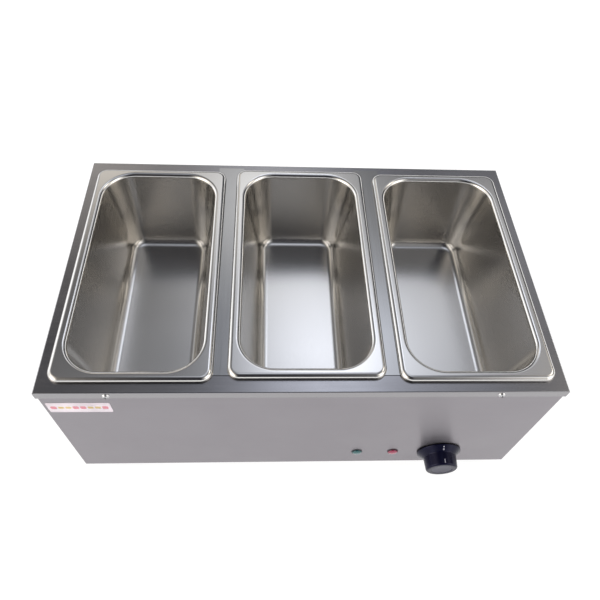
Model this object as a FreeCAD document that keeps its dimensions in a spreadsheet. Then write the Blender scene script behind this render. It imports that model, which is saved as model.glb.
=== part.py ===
import FreeCAD, Part
import math
import os

import Sketcher
from FreeCAD import Placement, Rotation, Vector

# Countertop steam table: a water tank under a deck, three lift-out third-size pans,
# an immersed heating element and a thermostat.  Millimetres, +Z up, front towards -Y.
# The origin is the centre of the footprint on the counter.

# The driving dimensions: name, value, what it is.
SIZES = [
    ("deck_width", 580, "deck across, outside"),
    ("deck_depth", 355, "deck front to back, outside"),
    ("deck_top", 236, "deck surface above the counter"),
    ("lip", 12, "height of the deck's turned-down edge"),
    ("bend", 1.2, "outside radius of the sheet bends"),
    ("sheet", 0.8, "sheet thickness of deck, tank, case and pans"),
    ("case_width", 578, "case across, outside"),
    ("case_depth", 353, "case front to back, outside"),
    ("case_floor", 16, "underside of the base plate, which is the foot height"),
    ("case_bend", 2, "outside radius of the case's upright bends"),
    ("flange", 17, "inward flange at the foot and the back of the case"),
    ("opening_width", 538, "deck opening across"),
    ("opening_depth", 312.4, "deck opening front to back"),
    ("opening_corner", 30, "corner radius of the deck opening"),
    ("tank_floor", 77, "inside of the tank floor above the counter"),
    ("tank_flange", 9, "width of the tank's top flange"),
    ("strip_width", 35, "divider strip across"),
    ("strip_offset", 95.4, "divider strip centre from the middle"),
    ("strip_front", -157, "front end of a divider strip"),
    ("strip_rear", 170, "rear end of a divider strip"),
    ("strip_side", 8, "turned-down side of a divider strip"),
    ("pan_length", 325.5, "pan rim front to back"),
    ("pan_width", 176.5, "pan rim across"),
    ("pan_mouth_length", 302, "pan opening front to back"),
    ("pan_mouth_width", 150.5, "pan opening across"),
    ("pan_corner", 40, "corner radius of the pan opening"),
    ("rim_corner", 14, "corner radius of the pan rim"),
    ("rim_rise", 6, "height of the pan rim"),
    ("rim_roll", 5.5, "radius of the rim's rolled edge"),
    ("pan_depth", 118, "inside depth of a pan"),
    ("pan_draft", 9.5, "lean of the pan walls, degrees"),
    ("pan_fillet", 13, "inside radius along the pan floor"),
    ("left_pan_x", -190.5, "centre of the left pan"),
    ("middle_pan_x", 0.4, "centre of the middle pan"),
    ("right_pan_x", 190.6, "centre of the right pan"),
    ("outer_pan_y", -3.3, "the outer pans lie this far back of centre"),
    ("middle_pan_y", 0.4, "the middle pan lies this far back of centre"),
    ("control_height", 54, "lamps and knob above the counter"),
    ("green_x", 77, "green lamp"),
    ("red_x", 125.5, "red lamp"),
    ("knob_x", 188, "knob axis"),
    ("reach", 26, "how far the knob and the cable gland stand off the case"),
    ("knob_skirt", 29, "radius of the knob skirt"),
    ("knob_grip", 21.7, "radius of the knob grip at the skirt"),
    ("knob_nose", 20.8, "radius of the knob grip at the front"),
    ("shaft", 3, "radius of the thermostat shaft"),
    ("running_gap", 0.05, "radial clearance of turning fits"),
    ("screw_x", 215, "deck screws from the middle"),
    ("screw_drop", 7, "deck screws below the deck surface"),
    ("label_width", 69, "name label across"),
    ("label_height", 23.6, "name label height"),
    ("label_x", -250, "centre of the name label"),
    ("label_drop", 37, "centre of the name label below the deck surface"),
    ("element_height", 101, "centre of the heating tube above the counter"),
    ("element_tube", 4, "radius of the heating tube"),
    ("element_x", 164, "element ends, from the middle"),
    ("element_y", 60, "element legs, from the middle"),
    ("foot_x", 255, "feet from the middle, across"),
    ("foot_y", 145, "feet from the middle, front to back"),
    ("gland_x", 200, "cable gland axis"),
    ("gland_height", 46, "cable gland axis above the counter"),
    ("cord_bore", 4.5, "radius of the cord passage in the gland seal"),
]

doc = FreeCAD.newDocument("SteamTable")


class Size:
    """A length that carries both its value and the sheet formula that gives it."""

    def __init__(self, value, formula):
        self.value = float(value)
        self.formula = formula

    def __add__(self, other):
        other = size(other)
        return Size(self.value + other.value, f"({self.formula} + {other.formula})")

    def __radd__(self, other):
        return size(other) + self

    def __sub__(self, other):
        other = size(other)
        return Size(self.value - other.value, f"({self.formula} - {other.formula})")

    def __rsub__(self, other):
        return size(other) - self

    def __mul__(self, other):
        other = size(other)
        return Size(self.value * other.value, f"({self.formula} * {other.formula})")

    __rmul__ = __mul__

    def __truediv__(self, other):
        other = size(other)
        return Size(self.value / other.value, f"({self.formula} / {other.formula})")

    def __neg__(self):
        return size(0) - self


def size(number):
    """A plain number as a Size; a Size stays as it is."""
    if isinstance(number, Size):
        return number
    return Size(number, f"({number})")


def fill_sheet():
    """Write the driving dimensions into the sheet and return them by name."""
    sheet = doc.addObject("Spreadsheet::Sheet", "Sizes")
    named = {}
    for row, (alias, value, note) in enumerate(SIZES, start=1):
        sheet.set(f"A{row}", alias)
        sheet.set(f"B{row}", str(value))
        sheet.setAlias(f"B{row}", alias)
        sheet.set(f"C{row}", note)
        named[alias] = Size(value, f"Sizes.{alias}")
    doc.recompute()
    return named


S = fill_sheet()
NODES = {}          # node name -> the document object that holds it

# Levels and faces that many pieces share.
DECK_TOP = S["deck_top"]
DECK_UNDER = DECK_TOP - S["sheet"]
CASE_FRONT = -S["case_depth"] / 2
CASE_BACK = S["case_depth"] / 2
CASE_SIDE = S["case_width"] / 2
PLATE_TOP = S["case_floor"] + S["sheet"]
TANK_UNDER = S["tank_floor"] - S["sheet"]
PANEL_INSIDE = CASE_FRONT + S["sheet"]
STRIP_TOP = DECK_TOP + S["sheet"]

# Hole radii for the fasteners, and places that two or more pieces share.
M4_CLEAR = 2.2
M4_TAPPED = 1.95
M3_CLEAR = 1.6
RIVET_HOLE = 2.05
TAPPER_HOLE = 1.9
LAMP_HOLE = 5.6
PORTS = (141.5, 147, 152.5, 158)        # terminal block ports: live, two neutral, earth
BLOCK_SCREWS = (136.6, 163.4)           # along X, in the row of the block's centre
BLOCK_Y = 120
EARTH_X, EARTH_Y = 200, 110
CUTOUT_X, CUTOUT_Y = 100, 20
CUTOUT_STUD = 15                        # strap studs from the cutout's centre
THERMOSTAT_SCREW = 14                   # thermostat screws from the knob axis


# ---------------------------------------------------------------- helpers: placing

def bind(made, prop, value):
    """Tie one property of an object to its formula."""
    made.setExpression(prop, size(value).formula)


def move_to(made, x=0, y=0, z=0):
    """Tie an object's place to the sheet."""
    for axis, value in zip("xyz", (x, y, z)):
        bind(made, f"Placement.Base.{axis}", value)
    return made


def keep(made, label):
    """Name an object as a finished sub-part."""
    made.Label = label
    NODES[label] = made
    return made


# ---------------------------------------------------------------- helpers: sketches

def new_body(name):
    return doc.addObject("PartDesign::Body", name)


def new_sketch(body, name, role="XY_Plane", offset=0):
    """A sketch on one of the body's own origin planes, moved along its normal."""
    drawn = body.newObject("Sketcher::SketchObject", f"{body.Name}_{name}")
    plane = next(part for part in body.Origin.OriginFeatures if part.Role == role)
    drawn.AttachmentSupport = (plane, [""])
    drawn.MapMode = "FlatFace"
    bind(drawn, "AttachmentOffset.Base.z", offset)
    return drawn


def set_datum(drawn, kind, where, value):
    """Add a dimension to a sketch and tie it to its formula."""
    value = size(value)
    index = drawn.addConstraint(Sketcher.Constraint(kind, *where, value.value))
    drawn.setExpression(f"Constraints[{index}]", value.formula)


def polygon(drawn, corners):
    """A closed outline of straight sides; corners are (x, y) sizes."""
    corners = [(size(x), size(y)) for x, y in corners]
    first = drawn.GeometryCount
    count = len(corners)
    for index, (x, y) in enumerate(corners):
        next_x, next_y = corners[(index + 1) % count]
        start = Vector(x.value, y.value, 0)
        end = Vector(next_x.value, next_y.value, 0)
        drawn.addGeometry(Part.LineSegment(start, end))
    for index, (x, y) in enumerate(corners):
        side = first + index
        after = first + (index + 1) % count
        drawn.addConstraint(Sketcher.Constraint("Coincident", side, 2, after, 1))
        set_datum(drawn, "DistanceX", (-1, 1, side, 1), x)
        set_datum(drawn, "DistanceY", (-1, 1, side, 1), y)


def rectangle(drawn, width, height, x=0, y=0):
    """A square-cornered outline centred at (x, y)."""
    left, right = size(x) - size(width) / 2, size(x) + size(width) / 2
    low, high = size(y) - size(height) / 2, size(y) + size(height) / 2
    polygon(drawn, [(left, low), (right, low), (right, high), (left, high)])


def rounded_rectangle(drawn, width, height, radius, x=0, y=0):
    """Four sides joined by four tangent arcs, centred at (x, y)."""
    left, right = size(x) - size(width) / 2, size(x) + size(width) / 2
    low, high = size(y) - size(height) / 2, size(y) + size(height) / 2
    radius = size(radius)
    corner = radius.value
    turns = [
        (right.value - corner, low.value + corner, -90),
        (right.value - corner, high.value - corner, 0),
        (left.value + corner, high.value - corner, 90),
        (left.value + corner, low.value + corner, 180),
    ]
    first = drawn.GeometryCount
    arcs = []
    for centre_x, centre_y, begin in turns:
        circle = Part.Circle(Vector(centre_x, centre_y, 0), Vector(0, 0, 1), corner)
        arcs.append(Part.ArcOfCircle(circle, math.radians(begin), math.radians(begin + 90)))
    for index, arc in enumerate(arcs):
        before = arcs[index - 1]
        drawn.addGeometry(Part.LineSegment(before.EndPoint, arc.StartPoint))
        drawn.addGeometry(arc)
    sides = [first + 2 * index for index in range(4)]
    bends = [first + 2 * index + 1 for index in range(4)]
    for index in range(4):
        after = sides[(index + 1) % 4]
        drawn.addConstraint(Sketcher.Constraint("Tangent", sides[index], 2, bends[index], 1))
        drawn.addConstraint(Sketcher.Constraint("Tangent", bends[index], 2, after, 1))
        level = "Horizontal" if index % 2 == 0 else "Vertical"
        drawn.addConstraint(Sketcher.Constraint(level, sides[index]))
    for bend in bends[1:]:
        drawn.addConstraint(Sketcher.Constraint("Equal", bends[0], bend))
    set_datum(drawn, "Radius", (bends[0],), radius)
    set_datum(drawn, "DistanceY", (-1, 1, sides[0], 1), low)
    set_datum(drawn, "DistanceX", (-1, 1, sides[1], 1), right)
    set_datum(drawn, "DistanceY", (-1, 1, sides[2], 1), high)
    set_datum(drawn, "DistanceX", (-1, 1, sides[3], 1), left)


def circle(drawn, radius, x=0, y=0):
    x, y, radius = size(x), size(y), size(radius)
    centre = Vector(x.value, y.value, 0)
    index = drawn.addGeometry(Part.Circle(centre, Vector(0, 0, 1), radius.value))
    set_datum(drawn, "Radius", (index,), radius)
    set_datum(drawn, "DistanceX", (-1, 1, index, 3), x)
    set_datum(drawn, "DistanceY", (-1, 1, index, 3), y)


# ---------------------------------------------------------------- helpers: features

def pad(body, drawn, length, reverse=False, draft=None):
    grown = body.newObject("PartDesign::Pad", f"{drawn.Name}_pad")
    grown.Profile = drawn
    bind(grown, "Length", length)
    grown.Reversed = reverse
    if draft is not None:
        bind(grown, "TaperAngle", draft)
    return grown


def pocket(body, drawn, length, reverse=False, draft=None):
    """Cut a sketch against its normal, or along it when reversed."""
    doc.recompute()
    before = body.Shape.Volume
    sunk = body.newObject("PartDesign::Pocket", f"{drawn.Name}_pocket")
    sunk.Profile = drawn
    bind(sunk, "Length", length)
    sunk.Reversed = reverse
    if draft is not None:
        bind(sunk, "TaperAngle", draft)
    doc.recompute()
    if body.Shape.Volume > before - 0.01:
        raise RuntimeError(f"{sunk.Name} cuts nothing")
    return sunk


def spin(body, drawn):
    """Turn a sketch about its own vertical axis."""
    turned = body.newObject("PartDesign::Revolution", f"{drawn.Name}_spin")
    turned.Profile = drawn
    turned.ReferenceAxis = (drawn, ["V_Axis"])
    turned.Angle = 360
    return turned


def flat_edges(shape, height, inside=None):
    """Names of the edges that lie level at a height, within a half-width and half-depth."""
    names = []
    for index, edge in enumerate(shape.Edges, start=1):
        box = edge.BoundBox
        level = abs(box.ZMin - height) < 0.01 and abs(box.ZMax - height) < 0.01
        reach = max(abs(box.XMin), abs(box.XMax)), max(abs(box.YMin), abs(box.YMax))
        within = inside is None or (reach[0] < inside[0] and reach[1] < inside[1])
        if level and within:
            names.append(f"Edge{index}")
    return names


def round_edges(body, base, names, radius):
    rounded = body.newObject("PartDesign::Fillet", f"{base.Name}_round")
    rounded.Base = (base, names)
    bind(rounded, "Radius", radius)
    doc.recompute()
    return rounded


def turned_body(name, profile, role="XZ_Plane"):
    """A body turned from one closed profile of (radius, height) corners."""
    body = new_body(name)
    drawn = new_sketch(body, "profile", role)
    polygon(drawn, profile)
    spin(body, drawn)
    return body


# ---------------------------------------------------------------- helpers: solids

def block(name, low, high):
    """A box between two corners, each three sizes."""
    made = doc.addObject("Part::Box", name)
    for prop, start, end in zip(("Length", "Width", "Height"), low, high):
        bind(made, prop, size(end) - size(start))
    return move_to(made, *low)


AXES = {
    "x": Rotation(Vector(0, 1, 0), 90),
    "y": Rotation(Vector(1, 0, 0), -90),
    "z": Rotation(),
}


def rod(name, radius, length, start, axis="z"):
    """A cylinder from a start point along +X, +Y or +Z."""
    made = doc.addObject("Part::Cylinder", name)
    bind(made, "Radius", radius)
    bind(made, "Height", length)
    made.Placement = Placement(Vector(), AXES[axis])
    return move_to(made, *start)


def hexagon(name, radius, length, start, axis="z"):
    """A hexagonal prism; the radius is to its corners."""
    made = doc.addObject("Part::Prism", name)
    made.Polygon = 6
    bind(made, "Circumradius", radius)
    bind(made, "Height", length)
    made.Placement = Placement(Vector(), AXES[axis])
    return move_to(made, *start)


def joined(name, *pieces):
    made = doc.addObject("Part::MultiFuse", name)
    made.Shapes = list(pieces)
    made.Refine = True
    return made


def cut(name, base, *tools):
    """The base with one tool, or several fused tools, taken out of it."""
    tool = tools[0] if len(tools) == 1 else joined(f"{name}_tools", *tools)
    made = doc.addObject("Part::Cut", name)
    made.Base = base
    made.Tool = tool
    return made


def shared(name, base, tool):
    made = doc.addObject("Part::Common", name)
    made.Base = base
    made.Tool = tool
    return made


def group(label, pieces):
    """Several separate solids that make one node."""
    made = doc.addObject("Part::Compound", label)
    made.Links = pieces
    return keep(made, label)


def washer(name, outer, inner, length, start, axis="z"):
    return cut(name, rod(f"{name}_disc", outer, length, start, axis),
               rod(f"{name}_hole", inner, length, start, axis))


def nut(name, corner, bore, length, start, axis="z"):
    return cut(name, hexagon(f"{name}_hex", corner, length, start, axis),
               rod(f"{name}_hole", bore, length, start, axis))


def screw(name, head, rise, shank, length, seat, facing):
    """A domed cross-head screw, its head towards one of -y, +y or -z of its seat."""
    turn = {"-y": Rotation(Vector(1, 0, 0), 90), "+y": Rotation(Vector(1, 0, 0), -90),
            "-z": Rotation(Vector(1, 0, 0), 180)}[facing]
    # Built with its head above z = 0 and its shank below, then turned.
    crown = (head * head + rise * rise) / (2 * rise)
    ball = doc.addObject("Part::Sphere", f"{name}_ball")
    bind(ball, "Radius", crown)
    move_to(ball, 0, 0, rise - crown)
    dome = shared(f"{name}_dome", rod(f"{name}_head", head, rise, (0, 0, 0)), ball)
    stem = rod(f"{name}_stem", shank, length, (0, 0, -length))
    arm = head * 0.55
    blade = head * 0.12
    slots = [block(f"{name}_slot_a", (-arm, -blade, rise * 0.4), (arm, blade, rise)),
             block(f"{name}_slot_b", (-blade, -arm, rise * 0.4), (blade, arm, rise))]
    made = cut(name, joined(f"{name}_solid", dome, stem), *slots)
    made.Placement = Placement(Vector(), turn)
    return move_to(made, *seat)


# ---------------------------------------------------------------- helpers: routes

def run_and_arcs(points, radii=None):
    """Straight runs joined by tangent arcs through the route's corners."""
    edges = []
    last = points[0]
    for index in range(1, len(points) - 1):
        corner = points[index]
        back = points[index - 1] - corner
        ahead = points[index + 1] - corner
        half_turn = (math.pi - back.getAngle(ahead)) / 2
        shorter = min(back.Length, ahead.Length)
        radius = radii[index - 1] if radii else 0.45 * shorter / math.tan(half_turn)
        reach = radius * math.tan(half_turn)
        back.normalize()
        ahead.normalize()
        begin = corner + back * reach
        end = corner + ahead * reach
        inward = back + ahead
        inward.normalize()
        middle = corner + inward * (radius / math.cos(half_turn) - radius)
        edges.append(Part.LineSegment(last, begin).toShape())
        edges.append(Part.Arc(begin, middle, end).toShape())
        last = end
    edges.append(Part.LineSegment(last, points[-1]).toShape())
    return Part.Wire(edges)


def tube(points, radius, radii=None):
    """A round bar along a route, checked against its section times its length."""
    path = run_and_arcs(points, radii)
    start = (points[1] - points[0]).normalize()
    ring = Part.Wire(Part.Circle(points[0], start, radius).toShape())
    solid = path.makePipeShell([ring], True, False)
    expected = math.pi * radius ** 2 * path.Length
    if abs(solid.Volume - expected) > 0.02 * expected:
        raise RuntimeError("a tube's volume is not its section times its length")
    return solid


def routed(label, solids):
    """A node of tubes whose routes bend out of any one plane."""
    made = doc.addObject("Part::Feature", label)
    made.Shape = solids[0] if len(solids) == 1 else Part.makeCompound(solids)
    made.Placement = Placement()
    return keep(made, label)


# ---------------------------------------------------------------- deck and tank

def top_deck():
    """The pressed deck: flat top, turned-down lip, one long rounded opening."""
    body = new_body("top_deck")
    outline = new_sketch(body, "outline", offset=DECK_TOP)
    rectangle(outline, S["deck_width"], S["deck_depth"])
    plate = pad(body, outline, S["lip"], reverse=True)
    doc.recompute()
    round_edges(body, plate, flat_edges(plate.Shape, DECK_TOP.value), S["bend"])
    under = new_sketch(body, "under", offset=DECK_UNDER)
    rectangle(under, S["deck_width"] - 2 * S["sheet"], S["deck_depth"] - 2 * S["sheet"])
    pocket(body, under, S["lip"] - S["sheet"])
    opening = new_sketch(body, "opening", offset=DECK_TOP)
    rounded_rectangle(opening, S["opening_width"], S["opening_depth"], S["opening_corner"])
    pocket(body, opening, S["sheet"] * 2)
    holes = new_sketch(body, "screw_holes", "XZ_Plane", S["deck_depth"] / 2)
    for side in (-1, 1):
        circle(holes, M4_CLEAR, side * S["screw_x"], DECK_TOP - S["screw_drop"])
    pocket(body, holes, S["deck_depth"])
    keep(body, "top_deck")


def water_tank():
    """The drawn tank that hangs under the deck, with holes for the element's ends."""
    body = new_body("water_tank")
    wide = S["opening_width"] + 2
    deep = S["opening_depth"] + 2
    corner = S["opening_corner"] + 1
    outside = new_sketch(body, "outside", offset=TANK_UNDER)
    rounded_rectangle(outside, wide + 2 * S["sheet"], deep + 2 * S["sheet"], corner + S["sheet"])
    pad(body, outside, DECK_UNDER - TANK_UNDER)
    flange = new_sketch(body, "flange", offset=DECK_UNDER - S["sheet"])
    rounded_rectangle(flange, wide + 2 * S["tank_flange"], deep + 2 * S["tank_flange"], corner)
    pad(body, flange, S["sheet"])
    inside = new_sketch(body, "inside", offset=DECK_UNDER)
    rounded_rectangle(inside, wide, deep, corner)
    pocket(body, inside, DECK_UNDER - S["tank_floor"])
    holes = new_sketch(body, "element_holes", offset=S["tank_floor"])
    for side in (-1, 1):
        circle(holes, 7.2, S["element_x"], side * S["element_y"])
    pocket(body, holes, S["sheet"] * 2)
    studs = new_sketch(body, "cutout_studs", offset=TANK_UNDER)
    for side in (-1, 1):
        circle(studs, 1.5, CUTOUT_X + side * CUTOUT_STUD, CUTOUT_Y)
    pad(body, studs, 8, reverse=True)
    keep(body, "water_tank")


def divider_strip(label, side):
    """A channel across the opening that carries the inner rims of two pans."""
    body = new_body(label)
    front = new_sketch(body, "section", "XZ_Plane", -S["strip_rear"])
    half = S["strip_width"] / 2
    thick = S["sheet"]
    rectangle(front, S["strip_width"], thick, 0, DECK_TOP + thick / 2)
    pad(body, front, S["strip_rear"] - S["strip_front"])
    sides = new_sketch(body, "sides", "XZ_Plane", -S["opening_depth"] / 2 + 1)
    for hand in (-1, 1):
        rectangle(sides, thick, S["strip_side"], hand * (half - thick / 2),
                  DECK_TOP - S["strip_side"] / 2 + thick / 2)
    pad(body, sides, S["opening_depth"] - 2)
    move_to(body, side * S["strip_offset"])
    keep(body, label)


# ---------------------------------------------------------------- pans

def rounded_slab(name, width, length, corner, level, depth, edge, draft=None):
    """A rounded block that hangs from a level, with one end's edges rounded.

    A straight block is rounded along its top; a leaning one along its bottom.
    """
    body = new_body(name)
    outline = new_sketch(body, "outline", offset=level)
    rounded_rectangle(outline, width, length, corner)
    grown = pad(body, outline, depth, reverse=True, draft=draft)
    doc.recompute()
    rounded_level = level if draft is None else level - depth
    round_edges(body, grown, flat_edges(grown.Shape, rounded_level.value), edge)
    return body


def pan(label, x, y):
    """A drawn third-size pan: rolled rim, leaning walls, rounded floor."""
    thick = S["sheet"]
    rise = S["rim_rise"]
    wide, long = S["pan_width"], S["pan_length"]
    mouth_wide, mouth_long = S["pan_mouth_width"], S["pan_mouth_length"]
    corner, roll, lean = S["rim_corner"], S["rim_roll"], -S["pan_draft"]
    rim = rounded_slab(f"{label}_rim", wide, long, corner, rise, rise, roll)
    hollow = rounded_slab(f"{label}_rim_hollow", wide - 2 * thick, long - 2 * thick,
                          corner - thick, rise - thick, rise, roll - thick)
    walls = rounded_slab(f"{label}_walls", mouth_wide + 2 * thick, mouth_long + 2 * thick,
                         S["pan_corner"] + thick, rise - thick / 2, S["pan_depth"] + thick / 2,
                         S["pan_fillet"] + thick, lean)
    well = rounded_slab(f"{label}_well", mouth_wide, mouth_long, S["pan_corner"], rise,
                        S["pan_depth"], S["pan_fillet"], lean)
    shell = joined(f"{label}_shell", cut(f"{label}_rim_shell", rim, hollow), walls)
    made = cut(f"{label}_drawn", shell, well)
    move_to(made, x, y, STRIP_TOP)
    keep(made, label)


# ---------------------------------------------------------------- case

def case_wrap():
    """The folded front and sides, with flanges inward at the foot and the back."""
    low = PLATE_TOP
    rear = CASE_BACK - S["sheet"]
    inset = S["sheet"]
    window = S["flange"]
    outer = upright("wrap_outer", S["case_width"], rear - CASE_FRONT, S["case_bend"],
                    low, DECK_UNDER)
    hollow = upright("wrap_hollow", S["case_width"] - 2 * inset, rear - CASE_FRONT - 2 * inset,
                     S["case_bend"] - inset, low + inset, DECK_UNDER + 1)
    foot = block("wrap_foot_window", (-CASE_SIDE + window, CASE_FRONT + window, low - 1),
                 (CASE_SIDE - window, rear - window, low + 2))
    back = block("wrap_back_window", (-CASE_SIDE + window, rear - 2, low + inset),
                 (CASE_SIDE - window, rear + 1, DECK_UNDER + 1))
    holes = []
    height = S["control_height"]
    for name, radius, x, z in (
            ("green", LAMP_HOLE, S["green_x"], height), ("red", LAMP_HOLE, S["red_x"], height),
            ("shaft", 5, S["knob_x"], height),
            ("screw_a", M4_CLEAR, S["knob_x"] - THERMOSTAT_SCREW, height),
            ("screw_b", M4_CLEAR, S["knob_x"] + THERMOSTAT_SCREW, height),
            ("deck_a", M4_CLEAR, -S["screw_x"], DECK_TOP - S["screw_drop"]),
            ("deck_b", M4_CLEAR, S["screw_x"], DECK_TOP - S["screw_drop"])):
        holes.append(rod(f"wrap_hole_{name}", radius, 4, (x, CASE_FRONT - 1, z), "y"))
    for index, (x, z) in enumerate(rivet_places()):
        holes.append(rod(f"wrap_rivet_{index}", RIVET_HOLE, 4, (x, rear - 3, z), "y"))
    for index, (x, y) in enumerate(base_screw_places()):
        holes.append(rod(f"wrap_base_{index}", TAPPER_HOLE, 4, (x, y, low - 1)))
    made = cut("case_wrap", outer, hollow, foot, back, *holes)
    keep(made, "case_wrap")


def upright(name, width, depth, corner, low, high):
    """A standing block with rounded upright edges, centred between the case's front and back."""
    body = new_body(name)
    outline = new_sketch(body, "outline", offset=low)
    rounded_rectangle(outline, width, depth, corner, 0, -S["sheet"] / 2)
    pad(body, outline, high - low)
    return body


def rivet_places():
    """The (x, z) places of the rivets that hold the rear panel."""
    column = CASE_SIDE - S["flange"] / 2
    return [(side * column, size(height)) for side in (-1, 1) for height in (50, 120, 190)]


def base_screw_places():
    """The (x, y) places of the screws that hold the base plate."""
    column = CASE_SIDE - S["flange"] / 2
    return [(side * column, size(place)) for side in (-1, 1) for place in (-110, 0, 110)]


def foot_places():
    return [(name, across * S["foot_x"], along * S["foot_y"])
            for name, across, along in (("front_left", -1, -1), ("front_right", 1, -1),
                                        ("rear_left", -1, 1), ("rear_right", 1, 1))]


def rear_panel():
    """The flat back of the case, riveted to the wrap's rear flanges."""
    body = new_body("rear_panel")
    outline = new_sketch(body, "outline", "XZ_Plane", -CASE_BACK)
    low, high = PLATE_TOP, DECK_UNDER
    rectangle(outline, S["case_width"] - 1, high - low, 0, (low + high) / 2)
    pad(body, outline, S["sheet"])
    holes = new_sketch(body, "holes", "XZ_Plane", -CASE_BACK)
    circle(holes, 10.2, S["gland_x"], S["gland_height"])
    for x, z in rivet_places():
        circle(holes, RIVET_HOLE, x, z)
    for side in (-1, 1):
        circle(holes, M4_CLEAR, side * S["screw_x"], DECK_TOP - S["screw_drop"])
    pocket(body, holes, S["sheet"] * 2, reverse=True)
    keep(body, "rear_panel")


def base_plate():
    """The bottom cover with two banks of vent slots."""
    body = new_body("base_plate")
    outline = new_sketch(body, "outline", offset=S["case_floor"])
    rectangle(outline, S["case_width"] - 1, S["case_depth"] - 1)
    pad(body, outline, S["sheet"])
    holes = new_sketch(body, "holes", offset=PLATE_TOP)
    for _, x, y in foot_places():
        circle(holes, M4_CLEAR, x, y)
    for x, y in base_screw_places():
        circle(holes, TAPPER_HOLE, x, y)
    for x in BLOCK_SCREWS:
        circle(holes, M3_CLEAR, x, BLOCK_Y)
    circle(holes, 2.6, EARTH_X, EARTH_Y)
    pocket(body, holes, S["sheet"] * 2)
    slots = new_sketch(body, "vent_slots", offset=PLATE_TOP)
    for side in (-1, 1):
        rounded_rectangle(slots, 80, 5, 2.4, side * 110, -28)
    first = pocket(body, slots, S["sheet"] * 2)
    row = body.newObject("PartDesign::LinearPattern", "base_plate_slots")
    row.Originals = [first]
    row.Direction = (slots, ["V_Axis"])
    row.Length = 56
    row.Occurrences = 5
    body.Tip = row
    doc.recompute()
    keep(body, "base_plate")


def feet():
    """Four tapered rubber feet, each with a sunk screw and a nut inside the case."""
    rise = S["case_floor"]
    for name, x, y in foot_places():
        foot = turned_body(f"foot_{name}", [
            (M4_CLEAR, rise), (M4_CLEAR, 9), (5.5, 9), (5.5, 0), (12, 0), (13, 1), (15, rise)])
        move_to(foot, x, y)
        keep(foot, f"foot_{name}")
    group("foot_screws", [screw(f"foot_screw_{name}", size(4), size(2.4), 2, 13, (x, y, 9), "-z")
                          for name, x, y in foot_places()])
    group("foot_nuts", [nut(f"foot_nut_{name}", 4.04, 2.05, 3.2, (x, y, PLATE_TOP))
                        for name, x, y in foot_places()])


def case_fixings():
    """Screws, clip nuts and rivets that hold the deck, the base and the rear panel."""
    height = DECK_TOP - S["screw_drop"]
    edge = S["deck_depth"] / 2
    screws = []
    clips = []
    for across in (-1, 1):
        x = across * S["screw_x"]
        hand = "left" if across < 0 else "right"
        screws.append(screw(f"screw_front_{hand}", size(4.25), size(2.9), 2, 8,
                            (x, -edge, height), "-y"))
        screws.append(screw(f"screw_rear_{hand}", size(4.25), size(2.9), 2, 8,
                            (x, edge, height), "+y"))
        for name, start in (("front", PANEL_INSIDE), ("rear", CASE_BACK - S["sheet"] - 2)):
            plate = block(f"clip_{name}_{hand}_plate", (x - 6, start, height - 6),
                          (x + 6, start + 2, height + 5))
            hole = rod(f"clip_{name}_{hand}_hole", 2.05, 2, (x, start, height), "y")
            clips.append(cut(f"clip_{name}_{hand}", plate, hole))
    group("deck_screws", screws)
    group("clip_nuts", clips)
    group("base_screws", [screw(f"base_screw_{index}", size(3.5), size(1.8), 1.8, 6,
                                (x, y, S["case_floor"]), "-z")
                          for index, (x, y) in enumerate(base_screw_places())])
    rivets = []
    for index, (x, z) in enumerate(rivet_places()):
        rivet = turned_body(f"rivet_{index}", [
            (0, 1.2), (2, 1.1), (4, 0.2), (4, 0), (2, 0), (2, -1.6), (2.6, -1.6),
            (2.6, -3.4), (0, -3.4)], "XY_Plane")
        rivets.append(move_to(rivet, x, CASE_BACK, z))
    group("rear_rivets", rivets)


def name_label():
    """A blank adhesive label at the front left."""
    body = new_body("name_label")
    outline = new_sketch(body, "outline", "XZ_Plane", -CASE_FRONT)
    rounded_rectangle(outline, S["label_width"], S["label_height"], 2, S["label_x"],
                      DECK_TOP - S["label_drop"])
    pad(body, outline, 0.3)
    keep(body, "name_label")


# ---------------------------------------------------------------- lamps and knob

def lamp(colour, x):
    """A pilot lamp: bezel and barrel in one piece, a domed lens and a fixing nut."""
    height = S["control_height"]
    housing = turned_body(f"lamp_{colour}_housing", [
        (0, 26), (5.4, 26), (5.4, 0), (7.2, 0), (7.2, -0.9), (6.9, -1.4), (6.3, -1.4),
        (6.3, -0.6), (0, -0.6)], "XY_Plane")
    move_to(housing, x, CASE_FRONT, height)
    tabs = [block(f"lamp_{colour}_tab_{side}", (x + side * 3 - 0.4, CASE_FRONT + 25, height - 2.4),
                  (x + side * 3 + 0.4, CASE_FRONT + 33, height + 2.4)) for side in (-1, 1)]
    keep(joined(f"lamp_{colour}_body", housing, *tabs), f"lamp_{colour}_body")
    lens = turned_body(f"lamp_{colour}_lens", [
        (0, -0.6), (6.2, -0.6), (6.2, -1.5), (5.2, -2.2), (3.2, -2.8), (0, -3.1)], "XY_Plane")
    move_to(lens, x, CASE_FRONT, height)
    keep(lens, f"lamp_{colour}_lens")


def lamps():
    places = (("green", S["green_x"]), ("red", S["red_x"]))
    for colour, x in places:
        lamp(colour, x)
    group("lamp_nuts", [nut(f"lamp_{colour}_nut", 8.5, 5.45, 3,
                            (x, PANEL_INSIDE, S["control_height"]), "y") for colour, x in places])


def knob_centre(depth=0):
    """A point on the knob's axis, so far in front of the case."""
    return S["knob_x"], CASE_FRONT - depth, S["control_height"]


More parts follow.
